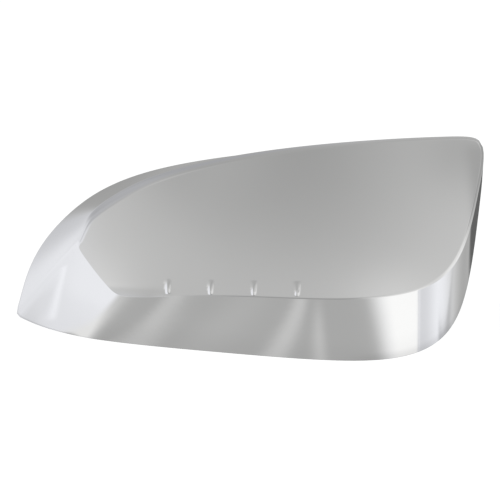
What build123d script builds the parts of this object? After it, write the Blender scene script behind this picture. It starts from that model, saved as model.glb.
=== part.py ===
"""Wing mirror cover: a chrome-plated moulded shell with three foam tape strips inside.

Millimetres. +X runs along the cover towards its tall end, +Z is up, and the rim lies in the
plane Y = 0. The cover stands forward of its rim, towards -Y, and is open behind it.
"""
import os

from build123d import *

# Main sizes
cover_length = 247.0         # along the rim
cover_height = 117.0         # at the rim
face_depth = 56.0            # from the rim plane to the foremost point

# Shell
wall = 2.4                   # moulded thickness
edge_round = 1.8             # radius where the face turns into the side walls

# Front face, part of a ball and foremost at its peak
face_radius = 1.53 * cover_length
face_peak_x = 0.202 * cover_length
face_peak_z = -0.068 * cover_height

# Plane that ends the walls a little ahead of the face, along the slope the face has at one place
trim_x = -0.243 * cover_length
trim_gap = 1.5

# Row of small ridges along the lower edge of the face
ridge_count = 4
ridge_pitch = 0.0875 * cover_length
ridge_first_x = -0.168 * cover_length
ridge_length = 7.6
ridge_width = 3.8
ridge_height = 1.0           # how far the round head stands proud of the face
ridge_sink = 0.06            # depth of the pointed foot below the face
ridge_foot_gap = 1.4         # from the lower edge of the face up to the foot, clear of the rounding

# Foam tape strips behind the face, each along one stretch of its edge
tape_width = 12.0
tape_thickness = 1.2         # foam and its liner
tape_edge_gap = 5.5          # from the edge of the face to the side of a strip
tape_end_gap = 12.0          # by which a strip stops short of the stretch at each end
glue_line = 0.1


def face_y(x, z, inset):
    """Depth of the front face, or of the surface lying `inset` inside it."""
    aside = (x - face_peak_x) ** 2 + (z - face_peak_z) ** 2
    return face_radius - face_depth - ((face_radius - inset) ** 2 - aside) ** 0.5


def face_ball(inset):
    """Ball whose near side is the front face, or the surface lying `inset` inside it."""
    return Pos(face_peak_x, face_radius - face_depth, face_peak_z) * Sphere(face_radius - inset)


def station(rim_along, rim_up, edge_along, edge_up):
    """Straight line of a side wall, as its points in the rim plane and on the front face.

    Places are in percent of the cover's length and height.
    """
    x, z = edge_along * cover_length / 100, edge_up * cover_height / 100
    rim = Vector(rim_along * cover_length / 100, 0, rim_up * cover_height / 100)
    return rim, Vector(x, face_y(x, z, 0), z)


# Side walls, from the tip over the top and back below. The stations pull a smooth closed curve
# round the rim and another round the edge of the face.
tip = [
    station(-47.8, -32.9, -35.6, 1.7),
    station(-50.6, -29.5, -35.2, 4.3),
    station(-49.8, -22.2, -34.6, 6.8),
]
tail = [
    station(-48.0, -11.1, -34.0, 9.4),
    station(-44.3, 4.3, -33.4, 12.4),
    station(-37.2, 19.6, -32.4, 16.2),
]
shoulder = [
    station(-29.6, 29.6, -28.3, 22.6),
    station(-18.2, 37.3, -19.6, 32.9),
]
top = [
    station(0.0, 41.9, 0.0, 41.5),
    station(23.5, 47.0, 22.3, 46.2),
    station(43.9, 49.1, 41.9, 48.3),
]
tall_end = [
    station(49.4, 49.1, 47.6, 49.1),
    station(50.2, 37.6, 47.8, 37.6),
    station(48.8, 13.7, 46.4, 24.8),
    station(47.3, -12.4, 44.7, 7.7),
]
corner = [
    station(44.1, -37.6, 41.5, -9.4),
    station(35.2, -50.4, 33.8, -20.1),
]
band = [
    station(19.2, -51.8, 19.0, -23.1),
    station(-3.2, -47.9, 0.0, -20.9),
    station(-22.7, -44.2, -18.2, -20.9),
    station(-32.2, -41.7, -25.6, -20.8),
    station(-36.2, -40.3, -29.2, -19.4),
    station(-43.5, -36.8, -36.0, -0.9),
]


def on_ring(points):
    """Where the smooth closed curve passes each of the points that pull it."""
    return [(points[i - 1] + points[i] * 4 + points[i + 1 - len(points)]) / 6 for i in range(len(points))]


def ring(points, starts):
    """Closed curve pulled by its points, as one edge from each start to the next."""
    count = len(points)
    passed = on_ring(points)
    slopes = [(points[i + 1 - count] - points[i - 1]) / 2 for i in range(count)]
    edges = []
    for first, last in zip(starts, starts[1:] + [count]):
        steps = range(first, last + 1)
        edges.append(
            Edge.make_spline(
                [passed[i % count] for i in steps],
                tangents=[slopes[first], slopes[last % count]],
                parameters=[float(i) for i in steps],
                scale=False,
            )
        )
    return edges


def walls_block(walls, inset):
    """Everything inside the side walls, from the rim to just ahead of the face."""
    starts = [sum(len(one_wall) for one_wall in walls[:i]) for i in range(len(walls))]
    rims, edges = zip(*sum(walls, []))
    face_at_trim = face_y(trim_x, face_peak_z, inset)
    slope = (trim_x - face_peak_x) / (face_radius - face_depth - face_at_trim)
    trim_y = face_at_trim - trim_gap
    rear = []
    front = []
    for i, rim in enumerate(rims):
        after = i + 1 - len(rims)
        along = edges[i] - rim
        round_ring = rims[after] - rims[i - 1] + edges[after] - edges[i - 1]
        start = rim + round_ring.cross(along).normalized() * inset
        start -= along * (start.Y / along.Y)
        reach = (trim_y + slope * (start.X - trim_x)) / (along.Y - slope * along.X)
        rear.append(start)
        front.append(start + along * reach)
    rear_ring = ring(rear, starts)
    front_ring = ring(front, starts)
    faces = [Face.make_surface_from_curves(a, b) for a, b in zip(rear_ring, front_ring)]
    return Solid(Shell(faces + [Face(Wire(rear_ring)), Face(Wire(front_ring))]))


def body(tip_lines, inset):
    """The cover's form filled in, lying `inset` inside the outer skin."""
    walls = [tip_lines + tail, shoulder, top, tall_end, corner, band]
    return walls_block(walls, inset) & face_ball(inset)


def lower_edge_z(x):
    """Height of the lower edge of the face at a place along it."""
    edge = on_ring([edge_point for _, edge_point in corner + band])
    for near, far in zip(edge[1:], edge[2:]):
        if far.X <= x <= near.X:
            return near.Z + (far.Z - near.Z) * (x - near.X) / (far.X - near.X)
    return edge[1].Z


def ridge(x):
    """Teardrop half sunk in the face: a cone from its pointed foot, closed by a round head."""
    radius = ridge_width / 2
    reach = ridge_length - radius
    side = (reach**2 - radius**2) ** 0.5
    touch = Vector(side * radius / reach, side**2 / reach)
    head = TangentArc(touch, (0, ridge_length), tangent=touch)
    half = make_face([Line((0, 0), touch), head, Line((0, ridge_length), (0, 0))])
    foot_z = lower_edge_z(x) + ridge_foot_gap
    foot = Vector(x, face_y(x, foot_z, 0) + ridge_sink, foot_z)
    middle = Vector(x, face_y(x, foot_z + reach, 0) + radius - ridge_height, foot_z + reach)
    return Plane(origin=foot, z_dir=middle - foot) * revolve(Plane.XZ * half, Axis.Z)


def cover():
    """Moulded shell: the outer form, rounded round its face, with its ridges, hollowed from behind.

    The hollow has one blunt line at its tip, where the outside has three.
    """
    form = body(tip, 0)
    face = form.faces().filter_by(GeomType.SPHERE)[0]
    outer = fillet(face.outer_wire().edges(), edge_round)
    for i in range(ridge_count):
        outer += ridge(ridge_first_x + i * ridge_pitch)
    return outer - body(tip[1:2], wall)


def tape(first, last):
    """Strip of foam tape bonded behind the face, along its edge from one station to another."""
    start, stop = first[1], last[1]
    stretch = Vector(stop.X - start.X, 0, stop.Z - start.Z)
    inward = Vector(stretch.Z, 0, -stretch.X).normalized()
    middle = (start + stop) / 2 + inward * (tape_edge_gap + tape_width / 2)
    strip = Box(stretch.length - 2 * tape_end_gap, 2 * face_depth, tape_width)
    layer = face_ball(wall + glue_line) - face_ball(wall + glue_line + tape_thickness)
    return layer & Plane(origin=middle, x_dir=stretch, z_dir=inward) * strip


parts = {
    "cover": cover(),
    "upper_tape": tape(shoulder[1], top[2]),
    "lower_tape": tape(corner[1], band[3]),
    "end_tape": tape(tall_end[1], corner[0]),
}
os.makedirs("parts", exist_ok=True)
for name, part in parts.items():
    export_step(part, f"parts/{name}.step")
    print(name, round(part.volume), part.is_valid, len(part.solids()), part.bounding_box().size)
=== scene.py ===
# %% [markdown]
# # Wing mirror cover
# The object is the moulded plastic shell that is pressed over the front of a car's door mirror. Its
# outside is chrome plated, so almost all that shows is what it reflects. This lesson rebuilds the shell
# as one smooth mesh, adds the tape that holds it on, and then lights it as a small studio would.

import bpy
import numpy as np
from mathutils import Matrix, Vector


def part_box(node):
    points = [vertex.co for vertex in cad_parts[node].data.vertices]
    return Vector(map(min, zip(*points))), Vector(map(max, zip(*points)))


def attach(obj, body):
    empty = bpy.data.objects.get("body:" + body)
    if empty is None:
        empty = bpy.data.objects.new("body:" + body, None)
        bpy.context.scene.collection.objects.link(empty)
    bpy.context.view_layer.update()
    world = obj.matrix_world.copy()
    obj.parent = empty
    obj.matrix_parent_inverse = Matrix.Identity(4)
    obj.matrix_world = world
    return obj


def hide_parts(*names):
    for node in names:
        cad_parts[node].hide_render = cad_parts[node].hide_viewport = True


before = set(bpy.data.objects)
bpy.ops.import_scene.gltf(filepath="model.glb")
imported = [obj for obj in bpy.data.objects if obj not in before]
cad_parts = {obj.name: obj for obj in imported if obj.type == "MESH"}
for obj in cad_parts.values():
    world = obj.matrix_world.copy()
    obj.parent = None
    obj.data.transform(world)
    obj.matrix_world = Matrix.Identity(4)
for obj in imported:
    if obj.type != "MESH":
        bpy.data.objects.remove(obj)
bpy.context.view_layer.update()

cover_low, cover_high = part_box("cover")
cover_length = cover_high.x - cover_low.x
cover_height = cover_high.z - cover_low.z
face_depth = -cover_low.y
MM = 0.001
print("cover, mm:", [round(size / MM, 1) for size in (cover_length, face_depth, cover_height)])

# %% [markdown]
# ## Camera
# The photograph looks straight at the front of the cover, from a little under a metre away. A long lens
# from that distance gives the slight perspective that shows the lower wall and the tip, so the camera
# comes first and everything else is judged through it.

# %% Camera
camera_distance = 0.950
photo_width_at_cover = 0.25615
cover_middle_depth = 0.030
camera_x, camera_z = -0.00013, -0.00102
sensor_width = 36.0

lens = bpy.data.cameras.new("camera")
lens.sensor_width = sensor_width
lens.lens = sensor_width * (camera_distance - cover_middle_depth) / photo_width_at_cover
lens.clip_start, lens.clip_end = 0.01, 100.0
camera = bpy.data.objects.new("camera", lens)
camera.location = (camera_x, -camera_distance, camera_z)
camera.rotation_euler = (np.pi / 2, 0.0, 0.0)
bpy.context.scene.collection.objects.link(camera)
bpy.context.scene.camera = camera
print("lens, mm:", round(lens.lens, 1))

# %% [markdown]
# ## The shape's rule
# The front face is part of a large ball. The side walls are straight lines that run from the rim to the
# edge of the face, and each line is a station, placed in percent of the cover's length and height. The
# stations pull a smooth closed curve round the rim and another round the face, the way a draughtsman's
# spline is pulled by its weights. The same rule makes the inside, a wall's thickness in. The stations are
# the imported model's own, except at the tip, along the top rim and at the upper right corner: there the
# surface moves by up to about a millimetre to meet the photograph.

# %% Face and stations
wall_thickness = 2.4 * MM
face_radius = 1.53 * cover_length
face_peak_x, face_peak_z = 0.202 * cover_length, -0.068 * cover_height
ball = np.array([face_peak_x, face_radius - face_depth, face_peak_z])
trim_x = -0.243 * cover_length
trim_gap = 1.5 * MM

# Each station is rim x, rim z, edge x and edge z. The ring runs from the tip over the top and back below.
tip = [(-49.0, -31.9, -35.6, 1.7), (-50.4, -29.9, -35.2, 4.3), (-49.6, -25.5, -34.6, 6.8)]
tail = [(-48.0, -11.1, -34.0, 9.4), (-44.3, 4.3, -33.4, 12.4), (-37.2, 19.6, -32.4, 16.2)]
shoulder = [(-29.6, 29.6, -28.3, 22.6), (-18.2, 37.4, -19.6, 32.9)]
top = [(0.0, 43.2, 0.0, 41.5), (23.5, 47.0, 22.3, 46.2), (43.9, 48.7, 41.9, 48.3)]
tall_end = [
    (49.3, 48.0, 47.6, 48.2),
    (50.2, 37.6, 47.8, 37.6),
    (48.8, 13.7, 46.4, 24.8),
    (47.3, -12.4, 44.7, 7.7),
]
corner = [(44.1, -37.6, 41.5, -9.4), (35.2, -50.4, 33.8, -20.1)]
band = [
    (19.2, -51.8, 19.0, -23.1),
    (-3.2, -47.9, 0.0, -20.9),
    (-22.7, -44.2, -18.2, -20.9),
    (-32.2, -41.7, -25.6, -20.8),
    (-36.2, -40.3, -29.2, -19.4),
    (-43.5, -36.8, -36.0, -0.9),
]
after_tip = tail + shoulder + top + tall_end + corner + band
outer_stations = np.array(tip + after_tip)
inner_stations = np.array(tip[1:2] + after_tip)
print("stations:", len(outer_stations), "outside,", len(inner_stations), "inside")


# %% Lines of the walls
def unit(vectors):
    """The vectors, each made one long."""
    return vectors / np.linalg.norm(vectors, axis=-1, keepdims=True)


def face_y(x, z, inset=0.0):
    """Depth of the face, or of the surface lying `inset` inside it."""
    return ball[1] - np.sqrt((face_radius - inset) ** 2 - (x - ball[0]) ** 2 - (z - ball[2]) ** 2)


def wall_lines(stations, inset):
    """Ends of the side walls' lines, in the rim plane and just ahead of the face."""
    rim_x, rim_z, edge_x, edge_z = (stations * ([cover_length, cover_height] * 2)).T / 100
    rim = np.stack([rim_x, 0 * rim_x, rim_z], 1)
    edge = np.stack([edge_x, face_y(edge_x, edge_z), edge_z], 1)
    line = edge - rim
    both = rim + edge
    rear = rim + unit(np.cross(np.roll(both, -1, 0) - np.roll(both, 1, 0), line)) * inset
    rear = rear - line * (rear[:, 1:2] / line[:, 1:2])
    at_trim = face_y(trim_x, face_peak_z, inset)
    slope = (trim_x - face_peak_x) / (ball[1] - at_trim)
    reach = (at_trim - trim_gap + slope * (rear[:, 0] - trim_x)) / (line[:, 1] - slope * line[:, 0])
    return rear, rear + line * reach[:, None]


outer_lines = wall_lines(outer_stations, 0.0)
inner_lines = wall_lines(inner_stations, wall_thickness)
print("walls, mm long:", np.round(np.linalg.norm(outer_lines[1] - outer_lines[0], axis=1) / MM)[:6])


# %% Curves, walls and the ball in the corner
halvings = 40


def pulled(points, t):
    """Places and slopes of the closed curve that the points pull, where t counts stations."""
    first = np.floor(t).astype(int)
    f = (t - first)[:, None]
    a, b, c, d = (points[(first + k) % len(points)] for k in (-1, 0, 1, 2))
    place = (1 - f) ** 3 * a + (3 * f**3 - 6 * f**2 + 4) * b
    place += (1 + 3 * f + 3 * f**2 - 3 * f**3) * c + f**3 * d
    slope = (3 * f**2 - 4 * f) * b - (1 - f) ** 2 * a + (1 + 2 * f - 3 * f**2) * c + f**2 * d
    return place / 6, slope / 2


def on_wall(lines, t, s):
    """Points and outward normals of the side walls, from s = 0 at the rim forwards."""
    (rear, rear_slope), (front, front_slope) = pulled(lines[0], t), pulled(lines[1], t)
    s = np.broadcast_to(s, t.shape)[:, None]
    round_ring = rear_slope + s * (front_slope - rear_slope)
    return rear + s * (front - rear), unit(np.cross(front - rear, round_ring))


def unbent(points):
    """The face's fall and its slopes where it keeps to the ball."""
    return np.zeros(len(points)), np.zeros((len(points), 3))


def rolled_ball(lines, t, radius, inset, bent=unbent):
    """Balls that touch wall and face all along the edge: how far up, their middles, both normals."""
    low, high = np.zeros(len(t)), np.ones(len(t))
    for _ in range(halvings):
        s = (low + high) / 2
        point, normal = on_wall(lines, t, s)
        middle = point - radius[:, None] * normal
        fall, slopes = bent(middle)
        reach = face_radius - inset - fall - radius * np.sqrt(1 + (slopes**2).sum(1))
        outside = np.linalg.norm(middle - ball, axis=1) > reach
        low, high = np.where(outside, low, s), np.where(outside, s, high)
    return s, middle, normal, unit(unit(middle - ball) + slopes)


station_count = len(outer_stations)
rim_curve = pulled(outer_lines[0], np.linspace(0, station_count, 40 * station_count))[0]
print("way round the rim, mm:", round(np.linalg.norm(np.diff(rim_curve, axis=0), axis=1).sum() / MM))

# %% [markdown]
# ## Edge of the face
# The edge between face and walls is crisp along the bottom and keenest at the lower left corner, rounder
# at the top, rounder still at the right-hand corner, and runs out in a broad soft bend on the way to the
# tip. It is what a ball leaves when it rolls along the inside of the corner, and only the size of that ball
# changes on its way round. From the lower left corner to the first ridges the face itself also falls back
# a little before it meets the wall, and the crease looks softer for it.

# %% Radius of the edge
crisp_round, plain_round, soft_round = 1.2 * MM, 2.3 * MM, 7.0 * MM
keen_round, tall_round = 0.2 * MM, 2.7 * MM
start_left, start_top, start_right, start_bottom = 22.0, 5.0, 11.0, 15.7
# Where each radius comes in and goes out, in stations past the corner by the tip
soft_in, soft_out = (0.6, 3.0), (7.0, 10.5)
tall_in, tall_out = (12.8, 14.6), (15.8, 17.2)
crisp_in, crisp_out = (15.6, 17.6), (0.2, 1.2)
keen_in, keen_out = (19.2, 20.0), (21.6, 22.2)


def ease(value, low, high):
    """0 below low, 1 above high and smooth between."""
    share = np.clip((value - low) / (high - low), 0, 1)
    return share * share * (3 - 2 * share)


def rounding_at(t):
    """Radius of the edge at a place on the ring, counted from the corner by the tip."""
    past = (t - start_left) % station_count
    soft = ease(past, *soft_in) * (1 - ease(past, *soft_out))
    crisp = ease(past, *crisp_in) + 1 - ease(past, *crisp_out)
    tall = ease(past, *tall_in) * (1 - ease(past, *tall_out))
    keen = ease(past, *keen_in) * (1 - ease(past, *keen_out))
    radius = plain_round + (soft_round - plain_round) * soft + (crisp_round - plain_round) * crisp
    return radius + (keen_round - crisp_round) * keen + (tall_round - plain_round) * tall


print("edge radius, mm:", np.round(rounding_at(np.arange(0.0, station_count, 4)) / MM, 1).tolist())

# %% Face that falls back at the corner
bend_height, bend_depth, bend_turn = 7.5 * MM, 0.7 * MM, 6 * MM
bend_most = 1.3
bend_corner, bend_fade, bend_end = np.array([-0.262, -0.205, -0.130]) * cover_length
crease_t = np.linspace(start_bottom, start_left, 600)
sharp = rolled_ball(outer_lines, crease_t, np.full(len(crease_t), 0.01 * MM), 0.0)[1]


def crease_z(x):
    """Height of the crease at a place along it."""
    return np.interp(x, sharp[::-1, 0], sharp[::-1, 2])


def fall_at(x, z):
    """How far the face falls back, most at the crease; left of its corner the crease is taken as level."""
    crease_x = (x + bend_corner + np.hypot(x - bend_corner, bend_turn)) / 2
    near = np.clip(1 - (z - crease_z(crease_x)) / bend_height, 0, bend_most)
    return bend_depth * (1 - ease(x, bend_fade, bend_end)) * near**3


def bent(points):
    """The face's fall near its lower left corner, and the fall's slopes."""
    x, z, step = points[:, 0], points[:, 2], 0.02 * MM
    slope_x = (fall_at(x + step, z) - fall_at(x - step, z)) / (2 * step)
    slope_z = (fall_at(x, z + step) - fall_at(x, z - step)) / (2 * step)
    return fall_at(x, z), np.stack([slope_x, 0 * x, slope_z], 1)


def face_ring(t):
    """Where the rounded edge ends on the face."""
    radius = rounding_at(t)
    _, middle, _, face_normal = rolled_ball(outer_lines, t, radius, 0.0, bent)
    return middle + radius[:, None] * face_normal


ring_check = face_ring(np.arange(station_count) + 0.0)
print("edge ring, mm:", np.round(ring_check[[0, 8, 11, 17]] / MM, 1).tolist())

# %% [markdown]
# ## Columns of the mesh
# Chrome shows every fault of a mesh, so the shell is built from rows and columns of four-sided faces that
# follow its own lines. The ring round the face is cut into four stretches, like the sides of a sheet: the
# left end, the top, the tall end and the bottom. Columns stand close together where each of the four small
# ridges will rise, and wider elsewhere.

# %% Column places
ridge_first_x, ridge_pitch, ridge_count = -0.168 * cover_length, 0.0875 * cover_length, 4
ridge_reach = 2.5 * MM
ridge_step, plain_step = 0.17 * MM, 0.95 * MM
ridge_rows_share, ridge_rows, upper_rows = 0.17, 32, 26
ring_samples, lower_samples = 900, 1501


def along(start, stop, shares):
    """Station counts at shares of the way from one station to another."""
    t = np.linspace(start, stop, ring_samples)
    steps = np.linalg.norm(np.diff(face_ring(t), axis=0), axis=1)
    run = np.concatenate([[0], np.cumsum(steps)])
    return np.interp(shares, run / run[-1], t)


even = np.linspace(0, 1, lower_samples)
lower_edge = face_ring(along(start_left, start_bottom, even))
ridge_x = ridge_first_x + ridge_pitch * np.arange(ridge_count)
knots = np.sort(np.concatenate([ridge_x - ridge_reach, ridge_x + ridge_reach]))
knots = np.concatenate([[lower_edge[0, 0]], knots, [lower_edge[-1, 0]]])
places = [
    np.linspace(a, b, int((b - a) / (ridge_step if i % 2 else plain_step)), endpoint=False)
    for i, (a, b) in enumerate(zip(knots, knots[1:]))
]
column_shares = np.append(np.interp(np.concatenate(places), lower_edge[:, 0], even), 1.0)
low_rows = np.linspace(0, ridge_rows_share, ridge_rows, endpoint=False)
row_shares = np.concatenate([low_rows, np.linspace(ridge_rows_share, 1, upper_rows)])
column_shares[0] = 0.0

ring_t = np.concatenate([
    along(start_left, start_top + station_count, row_shares)[:-1],
    along(start_top, start_right, column_shares)[:-1],
    along(start_bottom, start_right, row_shares)[:0:-1],
    along(start_left, start_bottom, column_shares)[:0:-1],
]) % station_count
columns, rows, wide = len(ring_t), len(row_shares), len(column_shares)
print("columns round the ring:", columns, "sheet:", rows, "by", wide)

# %% [markdown]
# ## Skin
# One skin is a stack of rings, up the side wall and round the edge, and then the face as a sheet stretched
# between the four sides and laid on the ball. Wall, edge and face share their normals where they
# meet, so a reflection runs on over them unbroken. A modifier could bevel the edge, but not with a radius
# that changes on its way, and not with normals as exact as the formulas give.

# %% Sheet inside a ring
side_ends = [rows - 1, rows + wide - 2, 2 * rows + wide - 3]


def four_sides(ring):
    """The ring's stretches as a sheet's left, upper, right and lower side."""
    a, b, c = side_ends
    lower = np.concatenate([ring[c:], ring[:1]])[::-1]
    return ring[: a + 1], ring[a : b + 1], ring[b : c + 1][::-1], lower


def sheet(ring, inset):
    """Points of the face inside the ring, in rows from the lower edge up."""
    left, upper, right, lower = four_sides(ring[:, [0, 2]])
    u, v = column_shares[None, :, None], row_shares[:, None, None]
    flat = (1 - v) * lower + v * upper + (1 - u) * left[:, None] + u * right[:, None]
    flat -= (1 - u) * ((1 - v) * left[0] + v * left[-1]) + u * ((1 - v) * right[0] + v * right[-1])
    x, z = flat[1:-1, 1:-1, 0], flat[1:-1, 1:-1, 1]
    return np.stack([x, face_y(x, z, inset), z], 2).reshape(-1, 3)


print("points on the sheet:", len(sheet(face_ring(ring_t), 0.0)))


# %% Skin of rings and sheet
wall_rows, edge_rows, rim_rows = 14, 9, 4
rim_round, inner_round = 0.25 * MM, 1.2 * MM


def between(a, b, share):
    """Directions part of the way from a to b, turning evenly."""
    angle = np.arccos(np.clip((a * b).sum(1), -1, 1))[:, None]
    return (np.sin((1 - share) * angle) * a + np.sin(share * angle) * b) / np.sin(angle)


def skin(lines, t, radius, inset, side, bent):
    """Points and normals in rings from the rim plane to the face, then the sheet's own."""
    far, middle, wall_normal, face_normal = rolled_ball(lines, t, radius, inset, bent)
    rim_plane = np.broadcast_to([0.0, 1.0, 0.0], middle.shape)
    at_rim = side * on_wall(lines, t, 0.0)[1]
    blunt = rim_round * np.minimum(1 + at_rim[:, 1], 1)
    near = blunt * (at_rim[:, 1] - 1) / pulled(lines[1], t)[0][:, 1]
    foot, foot_normal = on_wall(lines, t, near)
    rings = []
    for share in np.linspace(0, 1, rim_rows)[:-1]:
        normal = side * between(rim_plane, side * foot_normal, share)
        rings.append((foot + side * blunt[:, None] * (normal - foot_normal), normal))
    rings[0][0][:, 1] = 0
    rings += [on_wall(lines, t, near + (far - near) * share) for share in np.linspace(0, 1, wall_rows)]
    for share in np.linspace(0, 1, edge_rows)[1:]:
        normal = between(wall_normal, face_normal, share)
        rings.append((middle + radius[:, None] * normal, normal))
    inside = sheet(rings[-1][0], inset)
    fall, slopes = bent(inside)
    outwards = unit(inside - ball)
    rings.append((inside - fall[:, None] * outwards, unit(outwards + slopes)))
    points, normals = (np.concatenate(each) for each in zip(*rings))
    return points, side * normals


# The inside has one station at the tip where the outside has three, so the ring's first steps count half.
past_tip = (ring_t - start_left) % station_count
inner_t = np.where(past_tip <= 4, past_tip / 2 - 1, past_tip - 3) % len(inner_stations)
outer = skin(outer_lines, ring_t, rounding_at(ring_t), 0.0, 1, bent)
inner = skin(inner_lines, inner_t, np.full(columns, inner_round), wall_thickness, -1, unbent)
print("points on one skin:", len(outer[0]), "lowest rim point, mm:", round(outer[0][:, 2].min() / MM, 2))

# %% [markdown]
# ## Closed shell
# The rim between the skins is the flat that rests against the mirror housing, with both its corners
# rounded a little, because a moulding never ends in a knife edge. Both skins have the same number of points
# in the same order, so joining them is only counting.

# %% Faces of both skins and the rim
ring_count = rim_rows - 1 + wall_rows + edge_rows - 1


def skin_faces():
    """Four-sided faces of one skin, wound to point outwards on the outer one."""
    k = np.arange(columns)
    faces = []
    for row in range(ring_count - 1):
        a, b = row * columns + k, row * columns + (k + 1) % columns
        faces.append(np.stack([a, b, b + columns, a + columns], 1))
    grid = np.zeros((rows, wide), int)
    inner_grid = np.arange((rows - 2) * (wide - 2)).reshape(rows - 2, wide - 2)
    grid[1:-1, 1:-1] = ring_count * columns + inner_grid
    grid[:, 0], grid[-1], grid[:, -1], grid[0] = four_sides((ring_count - 1) * columns + k)
    cells = [grid[:-1, :-1], grid[:-1, 1:], grid[1:, 1:], grid[1:, :-1]]
    faces.append(np.stack(cells, 2).reshape(-1, 4))
    return np.concatenate(faces)


one_skin = skin_faces()
k, skin_size = np.arange(columns), len(outer[0])
rim_faces = np.stack([k, k + skin_size, (k + 1) % columns + skin_size, (k + 1) % columns], 1)
shell_points = np.concatenate([outer[0], inner[0]])
shell_normals = np.concatenate([outer[1], inner[1]])
shell_faces = np.concatenate([one_skin, one_skin + skin_size, rim_faces])
print("faces of one skin:", len(one_skin), "of the rim:", len(rim_faces))


# %% Shell as an object
def wound_outwards(faces):
    """The faces, each wound so that it points the way its normals do."""
    a, b, c, d = (shell_points[faces[:, side]] for side in range(4))
    facing = (np.cross(c - a, d - b) * shell_normals[faces].sum(1)).sum(1)
    return np.where(facing[:, None] > 0, faces, faces[:, ::-1])


shell_mesh = bpy.data.meshes.new("cover_shell")
shell_mesh.from_pydata(shell_points.tolist(), [], wound_outwards(shell_faces).tolist())
shell_mesh.shade_smooth()
is_inside = np.zeros(len(shell_faces), bool)
is_inside[len(one_skin) : 2 * len(one_skin)] = True
shell_mesh.attributes.new("inside", "BOOLEAN", "FACE").data.foreach_set("value", is_inside)
shell = bpy.data.objects.new("cover_shell", shell_mesh)
bpy.context.scene.collection.objects.link(shell)
print("shell faces:", len(shell_faces), "mended:", shell_mesh.validate())

# %% [markdown]
# ## Arithmetic that writes nodes
# Both the ridges and the finishes are node trees, and most of their nodes are sums. One small class wraps a
# socket so that Python's own operators add the Math nodes, and one method adds every other node: its
# settings first, then what its sockets hold or are linked to.

# %% Wires and trees
class Wire:
    """An output socket that can be added, multiplied and so on."""

    def __init__(self, tree, socket):
        self.tree, self.socket = tree, socket

    def math(self, operation, *others):
        return self.tree.add("ShaderNodeMath", {"operation": operation}, dict(enumerate((self, *others))))

    def vector(self, operation, other, output=0):
        settings = {"operation": operation}
        return self.tree.add("ShaderNodeVectorMath", settings, {0: self, 1: other}, output)

    def reflected(self, operation, other):
        return self.tree.add("ShaderNodeMath", {"operation": operation}, {0: other, 1: self})

    def __add__(self, other): return self.math("ADD", other)
    def __sub__(self, other): return self.math("SUBTRACT", other)
    def __mul__(self, other): return self.math("MULTIPLY", other)
    def __truediv__(self, other): return self.math("DIVIDE", other)
    def __pow__(self, other): return self.math("POWER", other)
    def __rsub__(self, other): return self.reflected("SUBTRACT", other)
    def __rtruediv__(self, other): return self.reflected("DIVIDE", other)
    __radd__, __rmul__ = __add__, __mul__

    def out(self, name):
        return Wire(self.tree, self.socket.node.outputs[name])

    def eased(self, low, high):
        """0 below low, 1 above high and smooth between."""
        settings = {"interpolation_type": "SMOOTHSTEP"}
        return self.tree.add("ShaderNodeMapRange", settings, {0: self, 1: low, 2: high})


class Tree:
    """A node tree with one way to add a node."""

    def __init__(self, nodes):
        self.nodes = nodes

    def add(self, kind, settings, values, output=0):
        node = self.nodes.nodes.new(kind)
        for name, setting in settings.items():
            setattr(node, name, setting)
        for name, value in values.items():
            if isinstance(value, Wire):
                self.nodes.links.new(value.socket, node.inputs[name])
            else:
                node.inputs[name].default_value = value
        return Wire(self, node.outputs[output]) if node.outputs else node


print("node maths ready")

# %% [markdown]
# ## Finishes
# Bright chrome is a mirror with almost no colour of its own: what makes it look real is a roughness that
# is never quite even and the faint waviness that the plastic underneath prints through. Towards the rim the
# colour is darkened as painted shade, most of all by the lower right corner. Inside, where the plating bath
# reached badly, the same metal is dull and cloudy. Patterns read Object coordinates, so they are in metres
# and stay on the part from any side.

# %% Helpers for finishes
def finish(name, fixed):
    """A material, its tree, its shader and the place on the object, in metres."""
    material = bpy.data.materials.new(name)
    material.use_nodes = True
    tree = Tree(material.node_tree)
    shader = material.node_tree.nodes["Principled BSDF"]
    for socket, value in fixed.items():
        shader.inputs[socket].default_value = value
    return material, tree, shader, tree.add("ShaderNodeTexCoord", {}, {}, "Object")


def feed(tree, shader, wires):
    """Links each wire to the shader's socket of that name."""
    for socket, wire in wires.items():
        tree.nodes.links.new(wire.socket, shader.inputs[socket])


def noise(tree, place, scale, detail=2.0):
    return tree.add("ShaderNodeTexNoise", {}, {"Vector": place, "Scale": scale, "Detail": detail})


def mixed(tree, share, first, second):
    """A colour between two, through a Mix node."""
    settings = {"data_type": "RGBA"}
    return tree.add("ShaderNodeMix", settings, {0: share, 6: (*first, 1), 7: (*second, 1)}, 2)


def bump(tree, height, depth, strength):
    values = {"Height": height, "Distance": depth, "Strength": strength}
    return tree.add("ShaderNodeBump", {}, values)


print("finish helpers ready")

# %% Chrome, outside and inside
chrome, tree, shader, place = finish("bright_chrome", {"Metallic": 1.0})
clouds, peel = noise(tree, place, 16.0, 3.0), noise(tree, place, 240.0, 1.0)
spot = tree.add("ShaderNodeSeparateXYZ", {}, {0: place})
depth = spot.out("Y")
# painted shade: the chrome's colour darkens over the walls towards the rim, more by the lower right corner
# and most in a narrow band at the rim
wall_shade = 0.2 * depth.eased(-24 * MM, 0.0)
corner_shade = 0.5 * (depth.eased(-9 * MM, -1 * MM) * spot.out("X").eased(45 * MM, 75 * MM))
rim_edge_shade = 0.65 * depth.eased(-0.9 * MM, -0.15 * MM)
painted_rim_shade = (wall_shade + corner_shade + rim_edge_shade).math("MINIMUM", 1.0)
# tone that varies at random, times the painted shade near the rim
clouds_and_rim_shade = (0.83 + 0.17 * clouds) * (1 - painted_rim_shade)
feed(tree, shader, {
    "Base Color": mixed(tree, clouds_and_rim_shade, (0.60, 0.60, 0.605), (0.86, 0.86, 0.862)),
    "Roughness": 0.035 + 0.05 * clouds,
    "Normal": bump(tree, peel, 0.01 * MM, 0.25),
})

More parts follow.
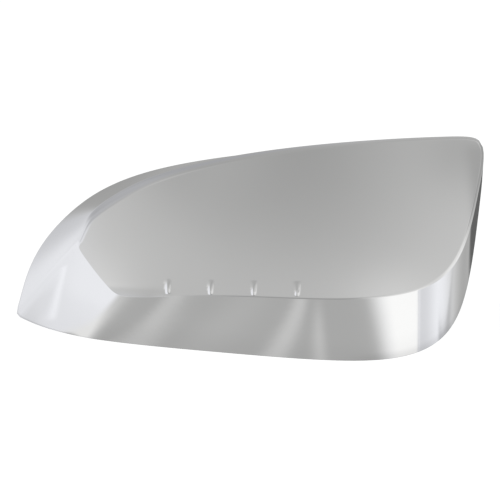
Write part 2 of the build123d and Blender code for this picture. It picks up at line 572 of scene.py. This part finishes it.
dull_chrome, tree, shader, place = finish("dull_chrome", {"Metallic": 1.0})
clouds, grain = noise(tree, place, 38.0, 4.0), noise(tree, place, 2200.0, 2.0)
patches = noise(tree, place, 9.0, 2.0).eased(0.35, 0.65)
feed(tree, shader, {
    "Base Color": mixed(tree, clouds * patches, (0.40, 0.40, 0.405), (0.62, 0.615, 0.60)),
    "Roughness": 0.34 + 0.16 * clouds + 0.06 * grain,
    "Normal": bump(tree, grain, 0.03 * MM, 0.35),
})
print("finishes:", chrome.name, dull_chrome.name)

# %% [markdown]
# ## Ridges
# Four small ridges stand in a row just above the crease. Each is a teardrop pressed out of the face: narrow
# and steep at its foot, broad and flat where it dies away above. They repeat by a rule, so a Geometry
# Nodes tree raises them out of the shell itself. The nearest ridge is found by rounding, so four ridges
# cost no more nodes than one.

# %% Helpers for Geometry Nodes
def new_tree(name, geometry_input, numbers, vectors=()):
    """A Geometry Nodes tree with named inputs, and a wire for each input."""
    group = bpy.data.node_groups.new(name, "GeometryNodeTree")
    kinds = [(each, "NodeSocketFloat") for each in numbers]
    kinds += [(each, "NodeSocketVector") for each in vectors]
    if geometry_input:
        kinds.insert(0, (geometry_input, "NodeSocketGeometry"))
    for each, kind in kinds:
        group.interface.new_socket(each, in_out="INPUT", socket_type=kind)
    group.interface.new_socket("Result", in_out="OUTPUT", socket_type="NodeSocketGeometry")
    tree = Tree(group)
    first = tree.add("NodeGroupInput", {}, {})
    return tree, {each: first.out(each) for each, _ in kinds}


def painted(tree, geometry, default, other, flag):
    """The tree's end: real geometry, one finish all over and another where the flag is set."""
    real = tree.add("GeometryNodeRealizeInstances", {}, {0: geometry})
    first = tree.add("GeometryNodeSetMaterial", {}, {"Geometry": real, "Material": default})
    flagged = tree.add("GeometryNodeInputNamedAttribute", {"data_type": "BOOLEAN"}, {"Name": flag})
    values = {"Geometry": first, "Selection": flagged, "Material": other}
    second = tree.add("GeometryNodeSetMaterial", {}, values)
    tree.add("NodeGroupOutput", {}, {0: second})


def scaled(tree, vector, amount):
    return tree.add("ShaderNodeVectorMath", {"operation": "SCALE"}, {0: vector, "Scale": amount})


print("geometry helpers ready")

# %% Ridge tree
ridge_inputs = ["First", "Pitch", "Count", "Foot", "Foot Rise", "Length", "Height"]
ridge_inputs += ["Narrow", "Wide", "Face Radius"]
tree, given = new_tree("ridges", "Shell", ridge_inputs, ["Ball Middle"])
position = tree.add("GeometryNodeInputPosition", {}, {})
apart = tree.add("ShaderNodeSeparateXYZ", {}, {0: position})
steps = ((apart.out("X") - given["First"]) / given["Pitch"]).math("ROUND")
nearest = steps.math("MAXIMUM", 0.0).math("MINIMUM", given["Count"] - 1)
sideways = apart.out("X") - given["First"] - nearest * given["Pitch"]
upwards = apart.out("Z") - given["Foot"] - nearest * given["Foot Rise"]
print("ridge tree, nodes that find the nearest ridge:", len(tree.nodes.nodes))

# %% Ridge height
foot_share, fade_share, swell_share = 0.16, 0.75, 0.4
foot_swell = 0.8
way = (upwards / given["Length"]).math("MAXIMUM", 0.0).math("MINIMUM", 1.0)
half_width = given["Narrow"] + (given["Wide"] - given["Narrow"]) * way
off_middle = (sideways.math("ABSOLUTE") / half_width).math("MINIMUM", 1.0)
crown = (1 - off_middle**2) ** 2
swell = foot_swell + (1 - foot_swell) * (way / swell_share).math("MINIMUM", 1.0)
profile = way.eased(0.0, foot_share) * ((1 - way) / fade_share).math("MINIMUM", 1.0) * swell
from_ball = position.vector("SUBTRACT", given["Ball Middle"])
under_face = given["Face Radius"] - from_ball.vector("LENGTH", (0, 0, 0), "Value")
on_face = under_face.eased(1.6 * MM, 1.0 * MM)
height = given["Height"] * crown * profile * on_face
outwards = from_ball.vector("NORMALIZE", (0, 0, 0))
lift = scaled(tree, outwards, height)
raised = tree.add("GeometryNodeSetPosition", {}, {"Geometry": given["Shell"], "Offset": lift})
painted(tree, raised, chrome, dull_chrome, "inside")
ridge_group = tree.nodes
print("ridge tree:", len(ridge_group.nodes), "nodes")

# %% [markdown]
# A modifier's inputs are stored under each socket's identifier, so a helper looks that up by name. The
# evaluated result becomes a plain mesh, and then the exact normals go on: the formulas' own wherever the
# surface was left alone, and the mesh's where a ridge has lifted it.

# %% Raise the ridges
ridge_length, ridge_height = 8.0 * MM, 0.85 * MM
ridge_narrow, ridge_wide = 1.35 * MM, 2.3 * MM
ridge_foot_gap = 0.7 * MM
least_lift = 0.0005 * MM


def run_tree(piece, group, inputs):
    """Runs the tree on the piece and leaves its result as the piece's plain mesh."""
    modifier = piece.modifiers.new(group.name, "NODES")
    modifier.node_group = group
    sockets = [item for item in group.interface.items_tree if item.in_out == "INPUT"]
    identifiers = {socket.name: socket.identifier for socket in sockets}
    for name, value in inputs.items():
        modifier[identifiers[name]] = value
    bpy.context.view_layer.update()
    evaluated = piece.evaluated_get(bpy.context.evaluated_depsgraph_get())
    result = bpy.data.meshes.new_from_object(evaluated)
    piece.modifiers.remove(modifier)
    piece.data = result
    return result


ridge_foot = crease_z(ridge_x) + ridge_foot_gap
ridge_values = {
    "First": ridge_first_x, "Pitch": ridge_pitch, "Count": float(ridge_count),
    "Foot": ridge_foot[0], "Foot Rise": (ridge_foot[-1] - ridge_foot[0]) / (ridge_count - 1),
    "Length": ridge_length, "Height": ridge_height, "Narrow": ridge_narrow, "Wide": ridge_wide,
    "Face Radius": face_radius, "Ball Middle": ball.tolist(),
}
shell_mesh = run_tree(shell, ridge_group, ridge_values)

made_points, made_normals = np.empty(shell_points.size), np.empty(shell_points.size)
shell_mesh.vertices.foreach_get("co", made_points)
shell_mesh.vertex_normals.foreach_get("vector", made_normals)
lifted = np.linalg.norm(made_points.reshape(-1, 3) - shell_points, axis=1)
by_ridge = lifted > least_lift
true_normals = np.where(by_ridge[:, None], made_normals.reshape(-1, 3), shell_normals)
shell_mesh.normals_split_custom_set_from_vertices(true_normals.tolist())
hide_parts("cover")
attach(shell, "root")
print("ridges lifted, mm:", round(lifted.max() / MM, 2), "points:", int(by_ridge.sum()))

# %% [markdown]
# ## Tape
# Strips of double-sided foam tape behind the face hold such a cover on its housing. Each has a foam core
# and the red liner that is peeled off when the cover is fitted. A strip follows the face's edge and bends
# with the face, so one Geometry Nodes tree lays a block along the line between two stations and wraps it
# on the ball.

# %% Tape finishes
foam, tree, shader, place = finish("foam", {"Specular IOR Level": 0.25})
pores = tree.add("ShaderNodeTexVoronoi", {}, {"Vector": place, "Scale": 1500.0})
cells = pores.eased(0.1, 0.5)
mottle = noise(tree, place, 300.0)
feed(tree, shader, {
    "Base Color": mixed(tree, cells * mottle, (0.012, 0.012, 0.013), (0.065, 0.065, 0.068)),
    "Roughness": 0.95 - 0.2 * cells,
    "Normal": bump(tree, cells, 0.15 * MM, 0.6),
})

liner, tree, shader, place = finish("liner_film", {"Specular IOR Level": 0.45})
creases = noise(tree, place, 45.0, 3.0)
ripple = noise(tree, place, 420.0, 1.0)
feed(tree, shader, {
    "Base Color": mixed(tree, creases, (0.40, 0.010, 0.014), (0.62, 0.030, 0.030)),
    "Roughness": 0.24 + 0.22 * creases,
    "Normal": bump(tree, creases + 0.3 * ripple, 0.12 * MM, 0.35),
})
print("finishes:", foam.name, liner.name)

# %% Tape tree
tape_inputs = ["Width", "Edge Gap", "End Gap", "Thickness", "Liner", "Overhang", "Glued Radius"]
tree, given = new_tree("tape", None, tape_inputs, ["Start", "Stop", "Ball Middle"])
chord = given["Stop"].vector("SUBTRACT", given["Start"]).vector("MULTIPLY", (1, 0, 1))
forwards = chord.vector("NORMALIZE", (0, 0, 0))
inwards = forwards.vector("CROSS_PRODUCT", (0, -1, 0))
run = chord.vector("LENGTH", (0, 0, 0), "Value") - 2 * given["End Gap"]
centre = given["Start"].vector("ADD", given["Stop"]).vector("MULTIPLY", (0.5, 0.5, 0.5))
block_points = {"Vertices X": 90, "Vertices Y": 9, "Vertices Z": 3}


def tape_layer(under, over, inset):
    """A block bent to the ball, from one depth behind the glue to another."""
    block = tree.add("GeometryNodeMeshCube", {}, block_points)
    spot = tree.add("ShaderNodeSeparateXYZ", {}, {0: tree.add("GeometryNodeInputPosition", {}, {})})
    lengthwise = spot.out("X") * (run - 2 * inset)
    across = given["Edge Gap"] + 0.5 * given["Width"] + spot.out("Y") * (given["Width"] - 2 * inset)
    flat = centre.vector("ADD", scaled(tree, forwards, lengthwise))
    flat = flat.vector("ADD", scaled(tree, inwards, across))
    radius = given["Glued Radius"] - under - (over - under) * (spot.out("Z") + 0.5)
    off = tree.add("ShaderNodeSeparateXYZ", {}, {0: flat.vector("SUBTRACT", given["Ball Middle"])})
    drop = (radius**2 - off.out("X") ** 2 - off.out("Z") ** 2).math("SQRT")
    values = {"X": off.out("X"), "Y": 0 - drop, "Z": off.out("Z")}
    wrapped = tree.add("ShaderNodeCombineXYZ", {}, values).vector("ADD", given["Ball Middle"])
    return tree.add("GeometryNodeSetPosition", {}, {"Geometry": block, "Position": wrapped})


seam = given["Thickness"] - given["Liner"]
core = tape_layer(0.0, seam, given["Overhang"])
film = tape_layer(seam, given["Thickness"], 0.0)
settings = {"data_type": "BOOLEAN", "domain": "FACE"}
values = {"Geometry": film, "Name": "liner", "Value": True}
film = tree.add("GeometryNodeStoreNamedAttribute", settings, values)
joined = tree.add("GeometryNodeJoinGeometry", {}, {0: core})
tree.nodes.links.new(film.socket, joined.socket.node.inputs[0])
painted(tree, joined, foam, liner, "liner")
tape_group = tree.nodes
print("tape tree:", len(tape_group.nodes), "nodes")

# %% Lay the strips
glue_line, sharp_turn = 0.1 * MM, 0.6
tape_values = {
    "Width": 12 * MM, "Thickness": 1.2 * MM, "Edge Gap": 5.5 * MM, "End Gap": 12 * MM,
    "Liner": 0.15 * MM, "Overhang": 0.12 * MM, "Ball Middle": ball.tolist(),
    "Glued Radius": face_radius - wall_thickness - glue_line,
}
strips = {
    "upper_tape": (shoulder[1], top[2]),
    "lower_tape": (corner[1], band[3]),
    "end_tape": (tall_end[1], corner[0]),
}


def edge_point(station):
    """Where a station meets the edge of the face."""
    x, z = station[2] * cover_length / 100, station[3] * cover_height / 100
    return [x, float(face_y(x, z)), z]


for name, (start, stop) in strips.items():
    strip = bpy.data.objects.new(name + "_strip", bpy.data.meshes.new(name + "_strip"))
    bpy.context.scene.collection.objects.link(strip)
    ends = {"Start": edge_point(start), "Stop": edge_point(stop)}
    strip_mesh = run_tree(strip, tape_group, tape_values | ends)
    strip_mesh.shade_smooth()
    strip_mesh.set_sharp_from_angle(angle=sharp_turn)
    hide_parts(name)
    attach(strip, "root")
    low_corner = [round(c / MM, 1) for c in strip.bound_box[0]]
    print(name, "faces:", len(strip_mesh.polygons), "lowest corner, mm:", low_corner)

# %% [markdown]
# ## Studio
# Chrome is lit by what it mirrors. What the photograph shows fits a pale tent: bright cloth at both sides, a
# greyer opening where the camera looks in, grey behind, and a few narrow gaps and cards that draw the
# streaks in the lower band. Real cards could stand round the cover, but they would get in each other's
# way, so the tent is painted on the world by direction, and the camera itself sees plain white.

# %% Tent helpers
chrome_shine, full_tone, screen_gamma = 0.84, 255, 2.2
world = bpy.data.worlds.new("tent")
bpy.context.scene.world = world
world.use_nodes = True
tree = Tree(world.node_tree)
look = tree.add("ShaderNodeTexCoord", {}, {}, "Generated")
degree = np.pi / 180


def level(tone):
    """Light that the chrome shows as a grey of that tone, from 0 to 255."""
    return (tone / full_tone) ** screen_gamma / chrome_shine


def pointing(turn, rise):
    """Direction so many degrees to the right of the camera and up, and its two cross directions."""
    a, e = turn * degree, rise * degree
    ahead = np.array([np.sin(a) * np.cos(e), -np.cos(a) * np.cos(e), np.sin(e)])
    right = np.array([np.cos(a), np.sin(a), 0])
    return ahead, right, np.cross(ahead, right)


def toward(vector):
    """How nearly a direction points the way of the vector, from -1 to 1."""
    return look.vector("DOT_PRODUCT", tuple(vector), "Value")


def turned(turn):
    """How far a direction lies to the right of the upright plane at that turn."""
    return toward(pointing(turn, 0)[1])


def card(turn, rise, half_width, half_height, soft, tilt=0.0):
    """Mask of a soft-edged card, its sizes in degrees."""
    ahead, right, up = pointing(turn, rise)
    c, s = np.cos(tilt * degree), np.sin(tilt * degree)
    across, along_it = toward(c * right + s * up), toward(c * up - s * right)
    w, h, edge = (np.sin(min(each, 90) * degree) for each in (half_width, half_height, soft))
    inside_width = across.math("ABSOLUTE").eased(w + edge, w - edge)
    inside_height = along_it.math("ABSOLUTE").eased(h + edge, h - edge)
    return inside_width * inside_height * toward(ahead).eased(0.0, 0.05)


def glow(turn, rise, width, height):
    """Mask that fades from a middle, its spreads in degrees."""
    ahead, right, up = pointing(turn, rise)
    far = (toward(right) / np.sin(width * degree)) ** 2 + (toward(up) / np.sin(height * degree)) ** 2
    return (far * -0.5).math("EXPONENT") * toward(ahead).eased(-0.1, 0.2)


def side_of(first, second, soft):
    """Mask of all that lies to one side of the line through two directions."""
    across = np.cross(pointing(*first)[0], pointing(*second)[0])
    return toward(unit(across)).eased(-np.sin(soft * degree), np.sin(soft * degree))


print("tent helpers ready")

# %% [markdown]
# Each card is a mask over directions. Most are given by where they stand, in degrees to the right of the
# camera and up from level. The large cloths are given by how far a direction points up, back or to the
# right, because that makes long soft edges.

# %% Cloths and large cards
up, back, rightwards = toward((0, 0, 1)), toward((0, 1, 0)), toward((1, 0, 0))
front = (0 - back).eased(-0.15, 0.35)
left_cloth = side_of((-152, 20), (-120, -53), 7) * side_of((-38, -60), (-56, 40), 10)
low_left = side_of((-126, -59.8), (-144, -65.1), 3)
low_left = low_left * rightwards.eased(-0.05, -0.22) * up.eased(-0.55, -0.75)
right_cloth = rightwards.eased(0.62, 0.80)
ahead_low = side_of((-53, -20), (-50, -50), 2) * turned(13).eased(0.1, -0.06)
below = card(0, -50, 38, 34, 12) * ahead_low
underneath = up.eased(-0.72, -0.82) * turned(-40).eased(0, 0.08) * ahead_low
straight_down = up.eased(-0.93, -0.965) * rightwards.eased(0.25, 0.05)
upper_left = up.eased(0.45, 0.75) * rightwards.eased(-0.65, -0.4) * rightwards.eased(0.05, -0.15)
behind_right = back.eased(0.3, 0.45) * rightwards.eased(0.1, 0.3)
corner_cloth = behind_right * up.eased(-0.15, -0.60)
rim_shade = side_of((140.5, -25.7), (138.95, -33), 0.3) * behind_right
rim_shade = rim_shade * up.eased(-0.3, -0.42) * up.eased(-0.61, -0.55)
white_card = turned(160).eased(0.05, -0.06) * up.eased(-0.779, -0.788)
white_card = white_card * back.eased(0.15, 0.3) * rightwards.eased(0, 0.1)
print("nodes for the large cards:", len(tree.nodes.nodes))

# %% Tent
tent_grey = 166
tent = [
    # the opening that the camera looks through, and the left cloth with its streak
    (front, 208),
    (left_cloth, 234),
    (low_left, 230),
    (left_cloth * up.eased(0.17, 0.6), 165),
    (card(-62, 26, 16, 13, 6), 180),
    (card(-54, -52, 5, 7, 2), 227),
    (card(-63.8, -43, 2.0, 15, 2.3, 12), 245),
    # the right cloth and what the upper right corner mirrors
    (right_cloth, 230),
    (right_cloth * up.eased(-0.36, 0.05), 152),
    (card(52, -14, 20, 9, 4), 224),
    (glow(25, 20, 6, 5.5), 177),
    (card(34, 14, 7.6, 6.8, 1.5), 160),
    # overhead and below
    (up.eased(0.45, 0.7), 172),
    (upper_left, 162),
    (below, 173),
    (glow(60, -66, 30, 16) * rightwards.eased(0.05, 0.2), 222),
    (underneath, 148),
    (straight_down, 150),
    # the soft changes over the face
    (glow(-8, 21, 24, 24), 156),
    (glow(-27, 18, 8, 6), 166),
    (glow(-47, -6, 6, 5), 212),
    (glow(12, -7.5, 6, 4), 204),
    (glow(-172, 15, 14, 12), 152),
    # the right-hand corner, its white card and the dark edge of the tall end
    (corner_cloth, 236),
    (behind_right * up.eased(-0.6, -0.76), 212),
    (card(155.5, -5, 6, 6, 6), 162),
    (rim_shade, 180),
    (white_card, 249),
    (card(142, -50.72, 5, 0.24, 0.2), 229),
    (card(166.5, 0, 6, 2.8, 1), 92),
    # the streaks in the lower band
    (glow(-168.5, -60.7, 0.9, 0.7), 174),
    (card(-159.9, -62, 0.32, 2.5, 0.28, 53), 195),
    (card(-175.3, -60.05, 0.52, 1.7, 0.48, -27), 195),
    (card(179.9, -59.7, 0.37, 1.2, 0.7), 195),
]
light = level(tent_grey)
for mask, tone in tent:
    light = light + mask * (level(tone) - light)
print("cards in the tent:", len(tent))

# %% [markdown]
# The light of the side cloths is a touch cooler than the rest, as the photograph's bright walls show. The
# camera's own rays see a white that is just above full, so the background stays clean.

# %% Painted world
room_tint, cloth_tint, seen_white = (1.0, 1.0, 0.99), (0.985, 0.995, 1.03), 1.05
cool = left_cloth.math("MAXIMUM", corner_cloth) * (1 - white_card)
tinted = scaled(tree, mixed(tree, cool, room_tint, cloth_tint), light)
seen = tree.add("ShaderNodeLightPath", {}, {}, "Is Camera Ray")
values = {0: seen, 6: tinted, 7: (seen_white, seen_white, seen_white, 1)}
painted_world = tree.add("ShaderNodeMix", {"data_type": "RGBA"}, values, 2)
backdrop = world.node_tree.nodes["Background"]
world.node_tree.links.new(painted_world.socket, backdrop.inputs["Color"])
print("nodes in the world:", len(tree.nodes.nodes))

# %% [markdown]
# The floor is a pale table lit from within, as product tables are, so it runs into the white behind without
# a line. It lies low, and the chrome doesn't mirror it, since the tent's own lower cards stand there. One
# broad lamp overhead, also unseen by the chrome, gives the tape its light and the floor a soft shadow.

# %% Floor
floor_drop, floor_size = 0.20, 12.0
table, tree, shader, place = finish("table", {
    "Roughness": 0.8, "Emission Color": (1, 1, 1, 1), "Emission Strength": 0.62,
})
haze = noise(tree, place, 3.0)
feed(tree, shader, {"Base Color": mixed(tree, haze, (0.80, 0.80, 0.80), (0.84, 0.84, 0.84))})
floor_mesh = bpy.data.meshes.new("floor")
reach = floor_size / 2
corners = [(-reach, -reach), (reach, -reach), (reach, reach), (-reach, reach)]
floor_mesh.from_pydata([(x, y, -floor_drop) for x, y in corners], [], [(0, 1, 2, 3)])
floor_mesh.materials.append(table)
floor = bpy.data.objects.new("floor", floor_mesh)
floor.visible_glossy = False
bpy.context.scene.collection.objects.link(floor)
print("floor at, m:", -floor_drop)

# %% Lamp
lamp_size, lamp_power, lamp_place = 0.9, 14.0, (0.1, 0.25, 1.1)
lamp = bpy.data.lights.new("overhead", "AREA")
lamp.shape, lamp.size, lamp.energy = "DISK", lamp_size, lamp_power
lamp_object = bpy.data.objects.new("overhead", lamp)
lamp_object.location = lamp_place
lamp_object.visible_glossy = False
bpy.context.scene.collection.objects.link(lamp_object)
bpy.context.scene.view_settings.view_transform = "Standard"
print("lamp, W:", lamp_power)
